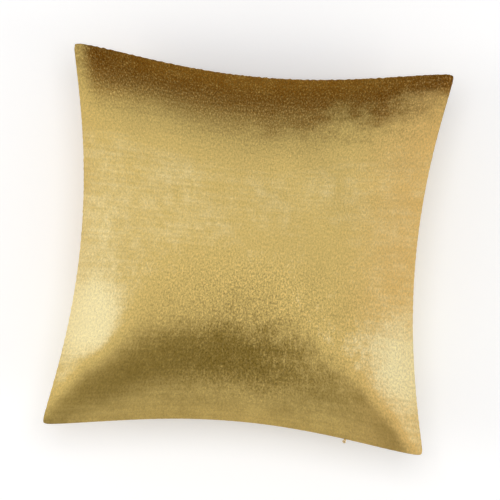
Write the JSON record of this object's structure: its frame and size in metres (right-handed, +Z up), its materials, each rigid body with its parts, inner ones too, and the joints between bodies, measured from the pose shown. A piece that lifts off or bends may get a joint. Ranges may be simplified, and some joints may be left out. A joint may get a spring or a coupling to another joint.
{
  "type": "throw pillow",
  "caption": "Square crowned throw pillow in gold velvet, with knife-edge seams, drawn-out corners and a concealed zip in one side over a fibre-filled insert.",
  "frame": {"origin": "on the resting surface, under the middle of the pillow's back face", "axes": "+Z up out of the front face, +X to the right and +Y to the top of the front face, with the zip in the -Y seam"},
  "size_m": [0.4328, 0.4344, 0.148],
  "materials": {
    "velvet": "satin",
    "sewing_thread": "matte",
    "label_satin": "satin",
    "zip_tape": "matte",
    "zip_nylon": "satin",
    "zip_metal": "satin",
    "casing_cloth": "matte",
    "fibre": "matte"
  },
  "bodies": {
    "pillow": {"cover_front": "velvet", "cover_back": "velvet", "seam_thread": "sewing_thread", "overlock_plain_sides": "sewing_thread", "overlock_zip_front": "sewing_thread", "overlock_zip_back": "sewing_thread", "care_label": "label_satin", "zip_tape_front": "zip_tape", "zip_tape_back": "zip_tape", "zip_coil_front": "zip_nylon", "zip_coil_back": "zip_nylon", "zip_stitching_front": "sewing_thread", "zip_stitching_back": "sewing_thread", "zip_top_stop_front": "zip_metal", "zip_top_stop_back": "zip_metal", "zip_bottom_stop": "zip_metal", "bar_tack_left": "sewing_thread", "bar_tack_right": "sewing_thread", "insert_front": "casing_cloth", "insert_back": "casing_cloth", "insert_seam_thread": "casing_cloth", "fibre_fill": "fibre"},
    "zip_slider": {"zip_slider_body": "zip_metal"},
    "pull_tab": {"zip_pull_tab": "zip_metal"}
  },
  "joints": [
    {"name": "zip_travel", "type": "hinge", "parent": "pillow", "child": "zip_slider", "pos_m": [0, -1.03884, 0.07], "axis": [0, 0, 1], "range_deg": [0, 17.4]},
    {"name": "pull_swing", "type": "hinge", "parent": "zip_slider", "child": "pull_tab", "pos_m": [0.12693, -0.20941, 0.07], "axis": [-0.9885, 0.1513, 0], "range_deg": [0, 170]}
  ]
}
